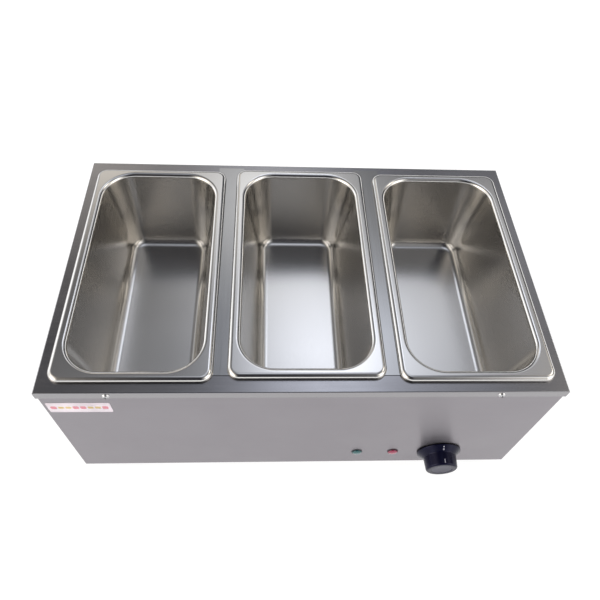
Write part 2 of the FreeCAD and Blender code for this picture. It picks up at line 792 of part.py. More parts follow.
def control_knob():
    """A flared, hollow moulded knob with filled index marks, a cap and a brass bush."""
    front = S["reach"]
    grip, nose, skirt = S["knob_grip"], S["knob_nose"], S["knob_skirt"]
    turned = turned_body("knob_turned", [
        (0, -19), (5.55, -19), (5.55, -2), (8.5, -2), (8.5, -21), (18.5, -21), (19, -9.5),
        (skirt - 2.2, -2.6), (skirt - 2, -1), (skirt, -1), (skirt, -2.6), (grip, -9),
        (nose, 1.7 - front), (nose - 1.6, -front), (13.5, -front), (13.5, 1 - front),
        (0, 1 - front)], "XY_Plane")
    move_to(turned, *knob_centre())
    x, face, height = knob_centre()
    marks = joined("knob_marks",
                   block("mark_skirt_low", (x - 0.8, face - 4.2, height + grip + 2),
                         (x + 0.8, face - 2.7, height + skirt)),
                   block("mark_skirt_high", (x - 0.8, face - 7.4, height + grip),
                         (x + 0.8, face - 5.6, height + skirt)),
                   block("mark_grip", (x - 0.8, face - 23.8, height + nose - 0.5),
                         (x + 0.8, face - 18.5, height + grip + 1)))
    keep(cut("control_knob", turned, marks), "control_knob")
    keep(shared("knob_pointer", turned, marks), "knob_pointer")
    cap = rod("knob_cap", 13.4, 0.7, (x, face - front + 0.3, height), "y")
    keep(cap, "knob_cap")
    bore = S["shaft"] + S["running_gap"]
    hole = shared("bush_bore", rod("bush_bore_round", bore, 16, (x, face - 18.9, height), "y"),
                  block("bush_bore_flat", (x - 4, face - 18.9, height - 4),
                        (x + 4, face - 2.9, height + 2.1)))
    keep(cut("knob_bush", rod("bush_body", 5.5, 16, (x, face - 18.9, height), "y"), hole),
         "knob_bush")


def thermostat():
    """The thermostat behind the knob: body, D-shaft, fixing screws, bulb and capillary."""
    x, face, height = knob_centre()
    inside = PANEL_INSIDE
    case = block("thermostat_case", (x - 17, inside, height - 17), (x + 17, inside + 30, height + 17))
    bore = rod("thermostat_bore", S["shaft"] + S["running_gap"], 12, (x, inside, height), "y")
    threads = [rod(f"thermostat_thread_{side}", M4_TAPPED, 8,
                   (x + side * THERMOSTAT_SCREW, inside, height), "y") for side in (-1, 1)]
    keep(cut("thermostat_body", case, bore, *threads), "thermostat_body")
    stem = rod("shaft_round", S["shaft"], 28, (x, face - 17, height), "y")
    flat = block("shaft_flat", (x - 4, face - 17, height + 2), (x + 4, face - 2, height + 4))
    keep(cut("thermostat_shaft", stem, flat), "thermostat_shaft")
    group("thermostat_screws", [
        screw(f"thermostat_screw_{side}", size(3.4), size(1.8), 1.9, 7,
              (x + side * THERMOSTAT_SCREW, face, height), "-y") for side in (-1, 1)])
    bulb = S["tank_floor"] - S["sheet"] - 3.3
    keep(rod("thermostat_bulb", 3, 80, (20, -30, bulb), "x"), "thermostat_bulb")
    clips = []
    for place in (36, 84):
        saddle = block(f"bulb_clip_{place}_block", (place - 4, -34.5, bulb - 4.2),
                       (place + 4, -25.5, TANK_UNDER))
        groove = rod(f"bulb_clip_{place}_round", 3.1, 8, (place - 4, -30, bulb), "x")
        slot = block(f"bulb_clip_{place}_slot", (place - 4, -33.1, bulb),
                     (place + 4, -26.9, TANK_UNDER))
        clips.append(cut(f"bulb_clip_{place}", saddle, groove, slot))
    group("bulb_clips", clips)
    back = inside.value + 30
    level = bulb.value
    routed("thermostat_capillary", [tube([
        Vector(188, back, 66), Vector(188, back + 16, 66), Vector(172, back + 36, 69),
        Vector(140, back + 52, 71), Vector(126, back + 84, level), Vector(116, -30, level),
        Vector(100, -30, level)], 0.8)])


# ---------------------------------------------------------------- heating

def heating():
    """The hairpin heating tube, its glands through the tank floor and its saddles."""
    x, y = S["element_x"].value, S["element_y"].value
    level = S["element_height"].value
    far = -215
    routed("heating_element", [tube([
        Vector(x, -y, 52), Vector(x, -y, level), Vector(far, -y, level), Vector(far, y, level),
        Vector(x, y, level), Vector(x, y, 52)], S["element_tube"].value, [14, 45, 45, 14])])
    floor = S["tank_floor"]
    fittings, gaskets, washers, nuts, insulators, pins = [], [], [], [], [], []
    for hand, name in ((-1, "front"), (1, "rear")):
        place = (S["element_x"], hand * S["element_y"])
        collar = hexagon(f"fitting_{name}_collar", 11, 7, (*place, floor + 2))
        stem = rod(f"fitting_{name}_stem", 7, 21, (*place, floor - 19))
        bore = rod(f"fitting_{name}_bore", S["element_tube"] + 0.1, 28, (*place, floor - 19))
        fittings.append(cut(f"fitting_{name}", joined(f"fitting_{name}_solid", collar, stem), bore))
        gaskets.append(washer(f"gasket_{name}", 10.5, 7.1, 2, (*place, floor)))
        washers.append(washer(f"washer_{name}", 11, 7.1, 1.2, (*place, TANK_UNDER - 1.2)))
        nuts.append(nut(f"nut_{name}", 11, 7.1, 7, (*place, TANK_UNDER - 8.2)))
        insulators.append(rod(f"insulator_{name}", S["element_tube"], 4, (*place, 48)))
        pin = rod(f"pin_{name}_stem", 1.5, 6, (*place, 42))
        spade = block(f"pin_{name}_spade", (place[0] - 3.1, place[1] - 0.4, 34),
                      (place[0] + 3.1, place[1] + 0.4, 42.5))
        pins.append(joined(f"pin_{name}", pin, spade))
    group("element_fittings", fittings)
    group("element_gaskets", gaskets)
    group("element_washers", washers)
    group("element_nuts", nuts)
    group("element_insulators", insulators)
    group("element_terminals", pins)
    saddles = []
    for place in (-150, 60):
        for hand in (-1, 1):
            name = f"saddle_{'front' if hand < 0 else 'rear'}_{abs(place)}"
            leg = hand * S["element_y"]
            post = block(f"{name}_post", (place - 1.5, leg - 7, floor),
                         (place + 1.5, leg + 7, S["element_height"]))
            seat = rod(f"{name}_seat", S["element_tube"] + 0.1, 3,
                       (place - 1.5, leg, S["element_height"]), "x")
            saddles.append(cut(name, post, seat))
    group("element_saddles", saddles)


def thermal_cutout():
    """A one-shot cutout pressed against the tank floor by a strap on two studs."""
    x, y = CUTOUT_X, CUTOUT_Y
    disc = rod("cutout_disc", 8, 12, (x, y, TANK_UNDER - 12))
    brim = rod("cutout_brim", 10, 1.5, (x, y, TANK_UNDER - 1.5))
    tabs = [block(f"cutout_tab_{side}", (x + side * 5 - 0.4, y - 3, TANK_UNDER - 18),
                  (x + side * 5 + 0.4, y + 3, TANK_UNDER - 11.5)) for side in (-1, 1)]
    keep(joined("thermal_cutout", disc, brim, *tabs), "thermal_cutout")
    strap = block("cutout_strap_plate", (x - 21, y - 11, TANK_UNDER - 2.5),
                  (x + 21, y + 11, TANK_UNDER - 1.5))
    holes = [rod("cutout_strap_eye", 8.1, 1, (x, y, TANK_UNDER - 2.5))]
    holes += [rod(f"cutout_strap_hole_{side}", M3_CLEAR, 1,
                  (x + side * CUTOUT_STUD, y, TANK_UNDER - 2.5))
              for side in (-1, 1)]
    keep(cut("cutout_strap", strap, *holes), "cutout_strap")
    group("cutout_nuts", [nut(f"cutout_nut_{side}", 3.2, 1.55, 2.4,
                              (x + side * CUTOUT_STUD, y, TANK_UNDER - 4.9))
                          for side in (-1, 1)])


# ---------------------------------------------------------------- wiring and cable entry

def cable_gland():
    """The cord entry: body, lock nut, seal and dome nut.  No cord is fitted."""
    x, wall, height = S["gland_x"], CASE_BACK, S["gland_height"]
    flange = hexagon("gland_hex", 13.8, 5, (x, wall, height), "y")
    thread = rod("gland_thread", 10, 13, (x, wall - 13, height), "y")
    spigot = rod("gland_spigot", 9, 10, (x, wall + 5, height), "y")
    bore = rod("gland_bore", 6.5, 30, (x, wall - 14, height), "y")
    keep(cut("cable_gland", joined("gland_solid", flange, thread, spigot), bore), "cable_gland")
    keep(nut("gland_locknut", 14.4, 10.05, 4.5, (x, wall - S["sheet"] - 4.5, height), "y"),
         "gland_locknut")
    keep(washer("gland_seal", 6.4, S["cord_bore"], 16, (x, wall + 5, height), "y"), "gland_seal")
    reach = S["reach"]
    dome = turned_body("gland_dome_nut", [
        (9.1, 5.5), (12.6, 5.5), (12.6, 14), (11.6, 19), (9.4, reach - 1.6), (7.4, reach),
        (5.2, reach), (5.2, 22), (6.6, 21.2), (6.6, 15.5), (9.1, 15.5)], "XY_Plane")
    move_to(dome, x, wall, height)
    keep(dome, "gland_dome_nut")


def terminal_block():
    """A three-pole screw terminal block and the earth stud on the base plate."""
    low = PLATE_TOP
    body = block("terminal_body", (134, 111, low), (166, 129, low + 15))
    holes = [rod(f"terminal_port_{x}", 1.7, 18, (x, 111, low + 9), "y") for x in PORTS]
    holes += [rod(f"terminal_fix_{x}", 1.7, 15, (x, BLOCK_Y, low)) for x in BLOCK_SCREWS]
    keep(cut("terminal_block", body, *holes), "terminal_block")
    group("terminal_screws", [screw(f"terminal_screw_{x}", size(3), size(1.8), 1.5, 18,
                                    (x, BLOCK_Y, S["case_floor"]), "-z") for x in BLOCK_SCREWS])
    stem = rod("earth_stem", 2.5, 18, (EARTH_X, EARTH_Y, low))
    head = rod("earth_head", 4.5, 2, (EARTH_X, EARTH_Y, S["case_floor"] - 2))
    neck = rod("earth_neck", 2.5, S["sheet"] + 0.5, (EARTH_X, EARTH_Y, S["case_floor"] - 0.25))
    keep(joined("earth_stud", stem, head, neck), "earth_stud")
    keep(nut("earth_nut", 4.6, 2.55, 4, (EARTH_X, EARTH_Y, low)), "earth_nut")


def wiring():
    """The internal leads, each along straight runs joined by tangent arcs."""
    lead = 1.3
    panel = PANEL_INSIDE.value
    back = panel + 30
    tab = panel + 32.4
    port = 25.8
    level = S["control_height"].value
    live = [
        [(PORTS[0], 117, port), (PORTS[0], 94, port), (128, 62, 30), (106, 34, 34), (105, 20, 44),
         (105, 20, 58)],
        [(95, 20, 58), (95, 20, 44), (98, -6, 34), (118, -50, 30), (152, -92, 34),
         (180, -122, 49), (180, back + 0.2, 49)],
        [(196, back + 0.2, 49), (196, back + 18, 49), (192, -108, 38), (176, -80, 26),
         (164, -60, 23), (164, -60, 33.8)],
        [(186, back + 0.2, 42), (186, back + 11, 42), (164, back + 20, 40), (142, back + 20, 46),
         (128.5, back + 14, level), (128.5, tab, level)],
        [(122.5, tab, level), (122.5, back + 14, level), (101, back + 24, 48), (80, back + 14, level),
         (80, tab, level)],
    ]
    neutral = [
        [(PORTS[2], 117, port), (PORTS[2], 96, port), (158, 78, 24), (164, 60, 23),
         (164, 60, 33.8)],
        [(74, tab, level), (74, back + 14, level), (56, -100, 30), (58, -40, 24), (84, 20, 22),
         (122, 62, 22), (145, 88, 24), (PORTS[1], 102, port), (PORTS[1], 117, port)],
    ]
    earth = [[(PORTS[3], 117, port), (PORTS[3], 97, port), (172, 88, 29), (188, 94, 29),
              (194, 103, 24)]]
    for label, routes in (("wiring_live", live), ("wiring_neutral", neutral),
                          ("wiring_earth", earth)):
        routed(label, [tube([Vector(*point) for point in route], lead) for route in routes])


# ---------------------------------------------------------------- build, check, write

def build():
    top_deck()
    water_tank()
    divider_strip("divider_strip_left", -1)
    divider_strip("divider_strip_right", 1)
    pan("pan_left", S["left_pan_x"], S["outer_pan_y"])
    pan("pan_middle", S["middle_pan_x"], S["middle_pan_y"])
    pan("pan_right", S["right_pan_x"], S["outer_pan_y"])
    case_wrap()
    rear_panel()
    base_plate()
    feet()
    case_fixings()
    name_label()
    lamps()
    control_knob()
    thermostat()
    heating()
    thermal_cutout()
    cable_gland()
    terminal_block()
    wiring()
    doc.recompute()


def check():
    """Stop if any object failed or any sub-part is empty, broken or misnamed."""
    for made in doc.Objects:
        if "Invalid" in made.State or "Error" in made.State:
            raise RuntimeError(f"{made.Name} failed: {made.State}")
    for label, made in NODES.items():
        if made.Label != label:
            raise RuntimeError(f"{label} is labelled {made.Label}")
        if made.Shape.isNull() or not made.Shape.isValid():
            raise RuntimeError(f"{label} has no valid shape")
        if not made.Shape.Solids:
            raise RuntimeError(f"{label} has no solid")


def write():
    os.makedirs("parts", exist_ok=True)
    for label, made in NODES.items():
        made.Shape.exportStep(f"parts/{label}.step")
        box = made.Shape.BoundBox
        print(f"{label:24s} solids {len(made.Shape.Solids):2d}  volume {made.Shape.Volume:10.1f}"
              f"  x {box.XMin:7.1f} {box.XMax:7.1f}  y {box.YMin:7.1f} {box.YMax:7.1f}"
              f"  z {box.ZMin:7.1f} {box.ZMax:7.1f}")


build()
check()
write()
print(len(NODES), "nodes")
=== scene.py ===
import math

import bmesh
import bpy
from mathutils import Matrix, Vector


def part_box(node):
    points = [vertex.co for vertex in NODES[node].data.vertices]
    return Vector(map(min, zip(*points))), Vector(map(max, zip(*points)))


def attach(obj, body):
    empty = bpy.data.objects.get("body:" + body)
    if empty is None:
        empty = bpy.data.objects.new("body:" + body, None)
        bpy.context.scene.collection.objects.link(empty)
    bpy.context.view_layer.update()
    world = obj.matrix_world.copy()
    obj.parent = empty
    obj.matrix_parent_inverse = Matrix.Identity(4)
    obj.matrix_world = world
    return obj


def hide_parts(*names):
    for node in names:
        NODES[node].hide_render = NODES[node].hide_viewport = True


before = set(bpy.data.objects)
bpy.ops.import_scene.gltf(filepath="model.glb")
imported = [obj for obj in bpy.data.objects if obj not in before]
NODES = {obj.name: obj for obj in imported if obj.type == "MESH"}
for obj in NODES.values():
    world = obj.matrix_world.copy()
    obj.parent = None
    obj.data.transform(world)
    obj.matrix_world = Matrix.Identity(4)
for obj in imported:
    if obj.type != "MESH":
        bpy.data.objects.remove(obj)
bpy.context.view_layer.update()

MM = 0.001

# Levels read from the frame.
DECK_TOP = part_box("top_deck")[1].z
CASE_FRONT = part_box("case_wrap")[0].y


# ------------------------------------------------------------------ mesh helpers

def new_piece(name, verts, faces, smooth=True):
    """A mesh object, in the frame's axes, from plain lists."""
    mesh = bpy.data.meshes.new(name)
    mesh.from_pydata([tuple(v) for v in verts], [], faces)
    mesh.validate()
    cleaner = bmesh.new()
    cleaner.from_mesh(mesh)
    bmesh.ops.recalc_face_normals(cleaner, faces=cleaner.faces)
    cleaner.to_mesh(mesh)
    cleaner.free()
    mesh.polygons.foreach_set("use_smooth", [smooth] * len(mesh.polygons))
    piece = bpy.data.objects.new(name, mesh)
    bpy.context.scene.collection.objects.link(piece)
    return piece


def rounded_ring(width, length, corner, z, steps=14):
    """Points round a rounded rectangle, the same number whatever its size."""
    points = []
    reach_x, reach_y = width / 2 - corner, length / 2 - corner
    for quadrant, (sign_x, sign_y) in enumerate(((1, 1), (-1, 1), (-1, -1), (1, -1))):
        for step in range(steps + 1):
            angle = math.radians(90 * quadrant + 90 * step / steps)
            points.append(Vector((sign_x * reach_x + corner * math.cos(angle),
                                  sign_y * reach_y + corner * math.sin(angle), z)))
    return points


def band(low, high, count):
    """The faces between two rings whose points start at the two given indices."""
    faces = []
    for index in range(count):
        after = (index + 1) % count
        faces.append((low + index, low + after, high + after, high + index))
    return faces


def loft(name, rings):
    """Skin a stack of rings that all have the same number of points, and cap both ends."""
    count = len(rings[0])
    faces = []
    for level in range(len(rings) - 1):
        faces += band(level * count, (level + 1) * count, count)
    faces.append(tuple(range(count)))
    faces.append(tuple(range((len(rings) - 1) * count, len(rings) * count)))
    return new_piece(name, [point for ring in rings for point in ring], faces)


def lathe(name, profile, centre, steps=96):
    """Turn (radius, distance) corners about a line along Y through a centre."""
    rings = []
    for radius, distance in profile:
        angles = [2 * math.pi * step / steps for step in range(steps)]
        rings.append([centre + Vector((radius * math.cos(angle), distance,
                                       radius * math.sin(angle))) for angle in angles])
    return loft(name, rings)


def softened(profile, radius, steps=4):
    """Round every inner corner of a (radius, distance) profile."""
    points = [Vector(p) for p in profile]
    result = [points[0]]
    for before, corner, after in zip(points, points[1:], points[2:]):
        back, ahead = before - corner, after - corner
        room = min(back.length, ahead.length) * 0.45
        reach = min(radius, room)
        start = corner + back.normalized() * reach
        end = corner + ahead.normalized() * reach
        for step in range(steps + 1):
            t = step / steps
            result.append(start * (1 - t) ** 2 + corner * 2 * t * (1 - t) + end * t ** 2)
    result.append(points[-1])
    return [tuple(p) for p in result]


# ------------------------------------------------------------------ shader helpers

class Graph:
    """Short calls for wiring one node tree."""

    def __init__(self, tree):
        self.tree = tree

    def node(self, kind, inputs=(), **settings):
        made = self.tree.nodes.new(kind)
        for key, value in settings.items():
            setattr(made, key, value)
        for key, value in dict(inputs).items():
            self.feed(made.inputs[key], value)
        return made

    def feed(self, socket, value):
        if isinstance(value, bpy.types.NodeSocket):
            self.tree.links.new(value, socket)
        else:
            socket.default_value = value

    def math(self, operation, first, second=0.0):
        return self.node("ShaderNodeMath", {0: first, 1: second}, operation=operation).outputs[0]

    def vector(self, x=0.0, y=0.0, z=0.0):
        return self.node("ShaderNodeCombineXYZ", {0: x, 1: y, 2: z}).outputs[0]


class Shader(Graph):
    """One material, with the nodes that the finishes below are made of."""

    def __init__(self, name):
        self.material = bpy.data.materials.new(name)
        self.material.use_nodes = True
        super().__init__(self.material.node_tree)
        self.surface = self.tree.nodes["Principled BSDF"]

    def set(self, **values):
        for key, value in values.items():
            self.feed(self.surface.inputs[key.replace("_", " ")], value)

    def coordinates(self):
        return self.node("ShaderNodeTexCoord").outputs["Object"]

    def noise(self, scale, stretch=(1, 1, 1), detail=3.0, rough=0.55):
        place = self.node("ShaderNodeMapping", {"Vector": self.coordinates(), "Scale": stretch})
        return self.node("ShaderNodeTexNoise", {
            "Vector": place.outputs["Vector"], "Scale": scale, "Detail": detail,
            "Roughness": rough}).outputs["Fac"]

    def spread(self, value, low, high, start=0.25, end=0.75):
        return self.node("ShaderNodeMapRange", {
            "Value": value, "From Min": start, "From Max": end, "To Min": low,
            "To Max": high}).outputs["Result"]

    def blend(self, factor, first, second):
        mix = self.node("ShaderNodeMix", data_type="RGBA")
        self.feed(mix.inputs["Factor"], factor)
        self.feed(mix.inputs[6], first)
        self.feed(mix.inputs[7], second)
        return mix.outputs[2]

    def bump(self, height, strength, distance):
        return self.node("ShaderNodeBump", {
            "Height": height, "Strength": strength, "Distance": distance}).outputs["Normal"]


def grey(value, tint=(1, 1, 1)):
    return (value * tint[0], value * tint[1], value * tint[2], 1)


def brushed(name, shade, tint, rough, along="x", stretch_light=0.75):
    """Sheet steel with a brushed grain along X or Y, and along Y on the end faces."""
    make = Shader(name)
    normal = make.node("ShaderNodeNewGeometry").outputs["Normal"]
    sideways = 1.0
    if along == "x":
        facing = make.node("ShaderNodeSeparateXYZ", {0: normal}).outputs["X"]
        sideways = make.math("GREATER_THAN", make.math("ABSOLUTE", facing), 0.7)
    layers = []
    for lengthwise, crosswise, detail, gain in ((25, 2600, 4, 0.7), (6, 420, 3, 0.6)):
        grain_x = make.noise(1.0, (lengthwise, crosswise, crosswise), detail, gain)
        grain_y = make.noise(1.0, (crosswise, lengthwise, crosswise), detail, gain)
        layers.append(make.node("ShaderNodeMix", {
            0: sideways, 2: grain_x, 3: grain_y}).outputs[0])
    fine, wide = layers
    smudges = make.noise(14.0, (1, 1, 1), 4, 0.6)
    swing = 0.03         # how far the roughness strays in each layer
    streak = make.math("ADD", make.spread(fine, -swing, swing), make.spread(wide, -swing, swing))
    uneven = make.math("ADD", streak, make.spread(smudges, -swing, swing))
    colour = make.blend(make.spread(streak, 0.0, 1.0, -0.08, 0.08),
                        grey(shade * 0.93, tint), grey(shade * 1.07, tint))
    brush = make.vector(make.math("SUBTRACT", 1.0, sideways), sideways)
    across = make.node("ShaderNodeVectorMath", {0: normal, 1: brush},
                       operation="CROSS_PRODUCT").outputs["Vector"]
    make.set(Base_Color=colour, Metallic=1.0, Roughness=make.math("ADD", uneven, rough),
             Anisotropic=stretch_light, Tangent=across, Normal=make.bump(fine, 0.12, 0.00002))
    return make.material


def satin(name, shade, tint, rough, waver=0.12, polish_above=None):
    """Drawn steel: satin, a little wavy, with a polished rim above a level."""
    make = Shader(name)
    scratch = make.noise(1.0, (900, 120, 900), 3, 0.6)
    cloud = make.noise(7.0, (1, 1, 1), 2, 0.5)
    uneven = make.math("ADD", make.spread(scratch, -0.01, 0.01), make.spread(cloud, -0.02, 0.02))
    roughness = make.math("ADD", uneven, rough)
    if polish_above is not None:
        height = make.node("ShaderNodeSeparateXYZ", {0: make.coordinates()}).outputs["Z"]
        shine = make.spread(height, 0.0, 0.3, polish_above, polish_above + 1.5 * MM)
        roughness = make.math("MULTIPLY", roughness, make.math("SUBTRACT", 1.0, shine))
    colour = make.blend(make.spread(cloud, 0.0, 1.0), grey(shade * 0.97, tint),
                        grey(shade * 1.03, tint))
    swell = make.noise(9.0, (1, 1, 1), 1, 0.4)
    make.set(Base_Color=colour, Metallic=1.0, Roughness=roughness,
             Normal=make.bump(swell, waver, 1.2 * MM))
    return make.material


def moulded(name, colour, rough, coat=0.0, metal=0.0, specular=0.5, gloss_tint=(1, 1, 1)):
    """Plastic, rubber or plain plated metal with a fine surface grain."""
    make = Shader(name)
    fine = make.noise(900.0, (1, 1, 1), 3, 0.6)
    broad = make.noise(40.0, (1, 1, 1), 3, 0.5)
    deep = tuple(part * 0.82 for part in colour) + (1,)
    pale = tuple(min(1.0, part * 1.12) for part in colour) + (1,)
    make.set(Base_Color=make.blend(make.spread(broad, 0, 1), deep, pale), Metallic=metal,
             Roughness=make.math("ADD", make.spread(broad, -0.03, 0.03), rough),
             Normal=make.bump(fine, 0.15, 0.03 * MM), Specular_IOR_Level=specular,
             Specular_Tint=gloss_tint + (1,), Coat_Weight=coat, Coat_Roughness=0.08)
    return make.material


def dress(node, material):
    """Give a carried-over CAD node its material."""
    slots = NODES[node].data.materials
    slots.clear()
    slots.append(material)


# ------------------------------------------------------------------ camera, light, floor

def camera():
    """The photograph's viewpoint: from the front, a little left and well above."""
    azimuth, elevation, roll = map(math.radians, (-5.42, 53.73, 4.77))
    target = Vector((-6.3 * MM, -35.7 * MM, DECK_TOP))      # a point on the deck
    distance = 694.7 * MM
    back = Vector((math.sin(azimuth) * math.cos(elevation),
                   -math.cos(azimuth) * math.cos(elevation), math.sin(elevation)))
    right = (-back).cross(Vector((0, 0, 1))).normalized()
    up = back.cross(right)
    turned = right * math.cos(roll) + up * math.sin(roll)
    upward = up * math.cos(roll) - right * math.sin(roll)
    pose = Matrix((turned, upward, back)).transposed().to_4x4()
    pose.translation = target + back * distance
    data = bpy.data.cameras.new("view")
    data.sensor_width = 36
    data.lens = 34.18
    data.shift_x = 0.0025
    data.shift_y = -0.0233
    data.clip_end = 200
    holder = bpy.data.objects.new("view", data)
    holder.matrix_world = pose
    bpy.context.scene.collection.objects.link(holder)
    bpy.context.scene.camera = holder


def floor():
    """A wide white sweep, slightly self-lit as an overexposed studio table is."""
    half_size = 60.0
    corners = [(x * half_size, y * half_size, 0) for x, y in ((-1, -1), (1, -1), (1, 1), (-1, 1))]
    sweep = new_piece("studio_floor", corners, [(0, 1, 2, 3)], smooth=False)
    make = Shader("studio_white")
    tone = make.spread(make.noise(3.0), 0.28, 0.3)
    make.set(Base_Color=make.vector(tone, tone, tone), Roughness=0.9,
             Emission_Color=(1, 1, 1, 1), Emission_Strength=0.85)
    sweep.data.materials.append(make.material)


# The light sources of the studio, each a soft round glow: azimuth from +Y towards +X and
# elevation of its centre, angle in degrees at which it falls to half, strength and tint.
NEUTRAL, WARM, COOL = (0.99, 1.0, 1.02), (1.0, 0.94, 0.85), (0.93, 0.98, 1.10)
SOURCES = [
    (12, 60, 6, 2.4, COOL),         # soft box overhead
    (34, 58, 6, 0.6, COOL),         # its spill to the right
    (20, 83, 11, 1.1, COOL),        # ceiling light
    (0, 46, 7, 1.5, NEUTRAL),       # bright wall behind
    (31, 46, 7, 0.8, NEUTRAL),
    (-21, 36, 7, 1.3, WARM),        # warm wall behind, to the left
    (-30, 62, 6, 0.25, NEUTRAL),
    (70, 45, 8, 4.0, WARM),         # lamp to the right
    (-120, 24, 16, 4.4, WARM),      # windows at either side
    (-60, 22, 16, 1.8, NEUTRAL),
    (120, 24, 16, 2.6, WARM),
    (120, 42, 16, 1.4, NEUTRAL),
    (-90, 44, 14, 1.6, WARM),
]
AMBIENT = (0.012, 0.013, 0.022)
HORIZON = 1.6            # the white sweep seen level with the counter


def studio_light():
    """A dim room with soft boxes, drawn on the world by direction."""
    world = bpy.data.worlds.new("studio")
    bpy.context.scene.world = world
    bpy.context.scene.view_settings.view_transform = "Standard"
    world.use_nodes = True
    make = Graph(world.node_tree)
    direction = make.node("ShaderNodeTexCoord").outputs["Generated"]
    glows = []
    for azimuth, elevation, half, strength, tint in SOURCES:
        around, above = math.radians(azimuth), math.radians(elevation)
        centre = make.vector(math.sin(around) * math.cos(above),
                             math.cos(around) * math.cos(above), math.sin(above))
        near = make.node("ShaderNodeVectorMath", {0: direction, 1: centre},
                         operation="DOT_PRODUCT").outputs["Value"]
        sharpness = math.log(2) / (1 - math.cos(math.radians(half)))
        falloff = make.math("MULTIPLY", make.math("SUBTRACT", near, 1.0), sharpness)
        glows.append((make.math("MULTIPLY", make.math("EXPONENT", falloff), strength), tint))
    rise = make.node("ShaderNodeSeparateXYZ", {0: direction}).outputs["Z"]
    level = make.node("ShaderNodeMapRange", {
        "Value": rise, "From Min": 0.05, "From Max": 0.35, "To Min": HORIZON, "To Max": 0.0},
        interpolation_type="SMOOTHSTEP").outputs["Result"]
    glows.append((level, NEUTRAL))
    total = make.vector(*AMBIENT)
    for amount, tint in glows:
        scaled = make.node("ShaderNodeVectorMath", {0: make.vector(*tint), "Scale": amount},
                           operation="SCALE").outputs["Vector"]
        total = make.node("ShaderNodeVectorMath", {0: total, 1: scaled},
                          operation="ADD").outputs["Vector"]
    make.feed(world.node_tree.nodes["Background"].inputs["Color"], total)


# ------------------------------------------------------------------ pans

# In millimetres, and the walls' lean in radians.
PAN_WIDTH, PAN_LENGTH, RIM_CORNER = 176.5, 325.5, 14.0
MOUTH_WIDTH, MOUTH_LENGTH, MOUTH_CORNER = 150.5, 302.0, 40.0
RISE, ROLL, SHEET = 6.0, 5.5, 0.8           # rim above the deck, its rolled edge, the steel
DEPTH, DRAFT, FILLET, BEND = 118.0, math.radians(9.5), 13.0, 5.0
FLOOR_RINGS = (1.0, 4.0, 10.0, 18.0, 26.0, 34.0)


def arc(centre_s, centre_z, radius, start, end, steps):
    """Points on an arc of a profile; angles in degrees, 90 straight up."""
    points = []
    for step in range(steps + 1):
        angle = math.radians(start + (end - start) * step / steps)
        points.append((centre_s + radius * math.cos(angle), centre_z + radius * math.sin(angle)))
    return points


def pan_rings():
    """The rings of one pan in millimetres, from under the rim, over it, down and back."""

    def rim(inset, z):
        return rounded_ring(PAN_WIDTH - 2 * inset, PAN_LENGTH - 2 * inset, RIM_CORNER - inset, z)

    def mouth(inset, z):
        corner = max(MOUTH_CORNER - inset, 0.5)
        return rounded_ring(MOUTH_WIDTH - 2 * inset, MOUTH_LENGTH - 2 * inset, corner, z)

    lean, tilt = math.tan(DRAFT), math.degrees(DRAFT)
    half = math.tan((math.pi / 2 - DRAFT) / 2)
    bend_at, bend_z = -BEND * half, RISE - BEND
    floor_z = RISE - DEPTH
    fillet_at, fillet_z = lean * DEPTH + FILLET * half, floor_z + FILLET
    over = [rim(SHEET, 0), rim(0.1, 0), rim(0, 0.15)]
    over += [rim(*point) for point in arc(ROLL, RISE - ROLL, ROLL, 180, 90, 10)]
    over += [rim(ROLL + 0.4, RISE), mouth(bend_at - 0.5, RISE)]
    over += [mouth(*point) for point in arc(bend_at, bend_z, BEND, 90, tilt, 8)]
    for share in (0.02, 0.3, 0.65, 0.97):
        z = bend_z + (fillet_z - bend_z) * share
        over.append(mouth(lean * (RISE - z), z))
    turn = arc(fillet_at, fillet_z, FILLET, 180 + tilt, 270, 10)
    over += [mouth(*point) for point in turn]
    flat_from = turn[-1][0]
    over += [mouth(flat_from + extra, floor_z) for extra in FLOOR_RINGS]
    under = [mouth(flat_from + extra, floor_z - SHEET)
             for extra in (FLOOR_RINGS[-1], 18.0, 4.0, 0.0)]
    turn_under = arc(fillet_at, fillet_z, FILLET + SHEET, 270, 180 + tilt, 8)
    under += [mouth(*point) for point in turn_under]
    under += [mouth(*point) for point in arc(bend_at, bend_z, BEND - SHEET, tilt, 90, 5)]
    under += [rim(*point) for point in arc(ROLL, RISE - ROLL, ROLL - SHEET, 90, 180, 6)]
    return over, under


def build_pan(node, body, material):
    """One pan: two skins that meet under the rim, each closed by a floor face."""
    low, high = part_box(node)
    centre = Vector(((low.x + high.x) / 2, (low.y + high.y) / 2, high.z - RISE * MM))
    over, under = pan_rings()
    rings = [[centre + point * MM for point in ring] for ring in over + under]
    count, floor_ring = len(rings[0]), len(over) - 1
    faces = []
    for level in range(len(rings)):
        if level != floor_ring:
            faces += band(level * count, (level + 1) % len(rings) * count, count)
    for level in (floor_ring, floor_ring + 1):
        faces.append(tuple(range(level * count, (level + 1) * count)))
    piece = new_piece(f"{node}_steel", [point for ring in rings for point in ring], faces)
    piece.data.materials.append(material)
    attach(piece, body)
    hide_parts(node)


# ------------------------------------------------------------------ knob and lamps

AXIS = 0.01              # a radius near nothing, where a turned piece closes
KNOB_LOW, KNOB_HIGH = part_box("control_knob")
KNOB_CENTRE = Vector(((KNOB_LOW.x + KNOB_HIGH.x) / 2, CASE_FRONT,
                      (KNOB_LOW.z + KNOB_HIGH.z) / 2))
KNOB_REACH = (CASE_FRONT - KNOB_LOW.y) / MM
KNOB_FACE = -KNOB_REACH
SKIRT = (KNOB_HIGH.x - KNOB_LOW.x) / 2 / MM
GRIP, NOSE, CAP = 21.7, 20.8, 13.4          # radii of the grip's root, its front and the cap
BORE, HUB, HOLLOW = 5.55, 8.5, 18.5         # radii inside: shaft hole, hub, hollow skirt


